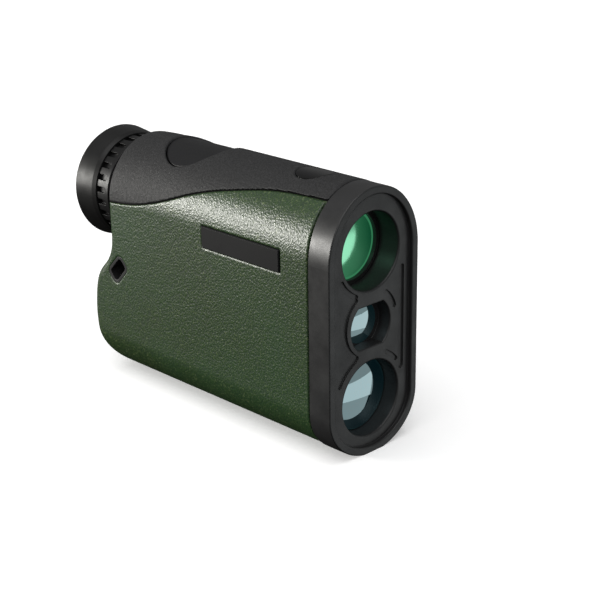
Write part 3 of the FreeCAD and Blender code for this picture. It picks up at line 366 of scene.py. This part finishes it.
def pebble(co, no, spacing, height, seed, pick):
    """Raised leather-like cells: high in the middle of each cell, low where two cells meet."""
    rng = np.random.default_rng(seed)
    idx = np.nonzero(pick)[0]
    cells = {}
    for i in rng.permutation(idx):
        key = (int(co[i, 0] / spacing), int(co[i, 1] / spacing), int(co[i, 2] / spacing))
        if key not in cells:
            cells[key] = i
    seeds = np.array(sorted(cells.values()))
    kd = KDTree(len(seeds))
    for k, i in enumerate(seeds):
        kd.insert(co[i], k)
    kd.balance()
    level = rng.uniform(0.55, 1.0, len(seeds))
    h = np.zeros(len(co))
    for i in idx:
        (_, k, d1), (_, _, d2) = kd.find_n(co[i], 2)
        t = min(1.0, (d2 - d1) / (0.55 * spacing))
        h[i] = t * t * (3 - 2 * t) * level[k]
    return co + no * ((h - 0.6) * height * pick)[:, None]


skin, co, no = soft_copy("green_shell", 0.00030)
y, z = np.abs(co[:, 1]) * 1000, co[:, 2] * 1000
low, high = (z < 14.7), (z > 57.95)
reach = np.where(low, np.hypot(y / 17.3, (14.7 - z) / 14.9), np.where(high, np.hypot(y / 17.3, (z - 57.95) / 19.1), y / 17.3)) * 17.3
outer = (reach > 16.98) | ((co[:, 0] < -0.0392) & (no[:, 0] < -0.2))
ease = np.clip((co[:, 0] * 1000 - 46.2) / 0.7, 0, 1)
co -= no * (0.0004 * ease * ease * outer)[:, None]
put_back(skin, pebble(co, no, 0.00050, 0.000055, 5, outer))
dress(skin, "green_armour")
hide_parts("green_shell")
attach(skin, "housing")

lid, co, no = soft_copy("top_cover", 0.00030)
x, z = co[:, 0] * 1000, co[:, 2] * 1000
s1 = np.clip((-20 - x) / 10, 0, 1)
s2 = np.clip((-28 - x) / 11.5, 0, 1)
w = np.clip((z - 58.5) / 12, 0, 1)
co[:, 2] -= (0.45 * s1 * s1 * (3 - 2 * s1) + 0.6 * s2 * s2) * w * w * (3 - 2 * w) / 1000
ease = np.clip((co[:, 0] * 1000 - 46.2) / 0.7, 0, 1)
co -= no * (0.0004 * ease * ease * (np.abs(no[:, 0]) < 0.5))[:, None]
put_back(lid, co)
dress(lid, "cover_black")
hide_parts("top_cover")
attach(lid, "housing")

# ------------------------------------------------------------------ stage, light and camera
def plane(name, size, loc, mat, rot=(0, 0, 0)):
    bm = bmesh.new()
    bmesh.ops.create_grid(bm, x_segments=2, y_segments=2, size=size / 2)
    me = bpy.data.meshes.new(name)
    bm.to_mesh(me)
    bm.free()
    o = bpy.data.objects.new(name, me)
    o.location = loc
    o.rotation_euler = rot
    me.materials.append(mat)
    scene.collection.objects.link(o)
    return o


ft = Tree("floor_pale")
floor_mat = ft.set(Base_Color=ft.mix(ft.span(ft.noise(6.0, 3), 0.3, 0.7, 0.0, 1.0), (0.93, 0.93, 0.93), (0.96, 0.96, 0.96)), Roughness=0.8, Specular_IOR_Level=0.1, Emission_Color=(1.0, 1.0, 1.0), Emission_Strength=0.32,
                   Normal=ft.bump(ft.noise(400.0, 3), 0.1, 0.0001))
floor = plane("floor", 6.0, (0, 0, -0.00002), floor_mat)

floor.visible_glossy = False
floor.visible_diffuse = False

world = bpy.data.worlds.new("studio")
scene.world = world
world.use_nodes = True
wt = world.node_tree
bg = wt.nodes.get("Background") or wt.nodes.new("ShaderNodeBackground")
wco = wt.nodes.new("ShaderNodeTexCoord")
wsep = wt.nodes.new("ShaderNodeSeparateXYZ")
wt.links.new(wco.outputs["Generated"], wsep.inputs[0])
wramp = wt.nodes.new("ShaderNodeValToRGB")
wmap = wt.nodes.new("ShaderNodeMapRange")
wmap.inputs[1].default_value, wmap.inputs[2].default_value = -1.0, 1.0
wt.links.new(wsep.outputs["Z"], wmap.inputs[0])
wt.links.new(wmap.outputs[0], wramp.inputs[0])
we = wramp.color_ramp.elements
we[0].position, we[0].color = 0.22, (0.10, 0.10, 0.10, 1)
we[1].position, we[1].color = 0.62, (1.0, 1.0, 1.0, 1)
wx = we.new(0.45)
wx.color = (0.42, 0.42, 0.42, 1)
wt.links.new(wramp.outputs[0], bg.inputs[0])
bg.inputs[1].default_value = WORLD


def area(name, loc, target, size, energy, colour=(1, 1, 1), size_y=None):
    d = bpy.data.lights.new(name, "AREA")
    d.energy = energy
    d.color = colour
    d.size = size
    if size_y:
        d.shape = "RECTANGLE"
        d.size_y = size_y
    o = bpy.data.objects.new(name, d)
    o.location = loc
    o.rotation_euler = (Vector(target) - Vector(loc)).to_track_quat("-Z", "Y").to_euler()
    scene.collection.objects.link(o)
    return o


area("side_soft", (-0.88, -0.80, 0.17), (0, 0, 0.055), 0.50, SIDE, (1.0, 0.985, 0.94), size_y=0.16)
area("front_soft", (0.75, -0.55, 0.55), (0.02, 0, 0.04), 0.5, FRONT)
sun = bpy.data.lights.new("overhead_soft", "SUN")
sun.energy = SUN
sun.angle = math.radians(60)
sun_o = bpy.data.objects.new("overhead_soft", sun)
sun_o.rotation_euler = Vector((0.05, -0.28, 1.0)).to_track_quat("Z", "Y").to_euler()
scene.collection.objects.link(sun_o)


def card(name, az, el, radius, value, tint=(1.0, 1.0, 1.0)):
    """A studio card seen only in polished surfaces: a patch of a big sphere around the front of the object."""
    n, m = 14, 8
    vs, fs = [], []
    for i in range(n + 1):
        for j in range(m + 1):
            a = math.radians(az[0] + (az[1] - az[0]) * i / n)
            e = math.radians(el[0] + (el[1] - el[0]) * j / m)
            vs.append((0.05 + radius * math.cos(e) * math.cos(a), radius * math.cos(e) * math.sin(a), 0.03 + radius * math.sin(e)))
    for i in range(n):
        for j in range(m):
            k = i * (m + 1) + j
            fs.append((k, k + 1, k + m + 2, k + m + 1))
    me = bpy.data.meshes.new(name)
    me.from_pydata(vs, [], fs)
    o = bpy.data.objects.new(name, me)
    mt = bpy.data.materials.new(name)
    mt.use_nodes = True
    mt.node_tree.nodes.clear()
    em = mt.node_tree.nodes.new("ShaderNodeEmission")
    em.inputs[0].default_value = (*tint, 1)
    em.inputs[1].default_value = value
    ou = mt.node_tree.nodes.new("ShaderNodeOutputMaterial")
    mt.node_tree.links.new(em.outputs[0], ou.inputs[0])
    me.materials.append(mt)
    scene.collection.objects.link(o)
    for k in ("visible_camera", "visible_diffuse", "visible_shadow", "visible_transmission", "visible_volume_scatter"):
        setattr(o, k, False)
    return o


card("window_card", (8, 60), (-27, -11), 1.6, 1.25, (0.97, 1.0, 1.0))
card("wall_card", (-40, 98), (-27, 35), 1.9, 0.50, (0.95, 1.0, 1.0))
card("table_card", (-10, 58), (-48, -25), 1.85, 0.62, (0.95, 1.0, 1.0))
card("dark_card", (58, 175), (-85, -27.5), 1.8, 0.004)
card("dark_low_card", (-60, 60), (-85, -46), 1.75, 0.004)
card("sliver_card", (92, 112), (-36, -31.5), 1.5, 1.1, (0.97, 1.0, 1.0))

cam_data = bpy.data.cameras.new("photo_view")
cam = bpy.data.objects.new("photo_view", cam_data)
scene.collection.objects.link(cam)
scene.camera = cam
cam_data.sensor_width = 36.0
cam_data.lens = 1439.0 * 36.0 / 600.0
cam_data.clip_start = 0.01
az, el, ro = (math.radians(a) for a in (45.8791, 20.5164, -0.8307))
back = Vector((math.sin(az) * math.cos(el), -math.cos(az) * math.cos(el), math.sin(el)))
right = Vector((math.cos(az), math.sin(az), 0))
up = back.cross(right)
r2 = math.cos(ro) * right + math.sin(ro) * up
u2 = -math.sin(ro) * right + math.cos(ro) * up
rot = Matrix((r2, u2, back)).transposed()
cam.matrix_world = Matrix.Translation(Vector((0.301785, -0.2674315, 0.1814076))) @ rot.to_4x4()

scene.view_settings.view_transform = "Standard"
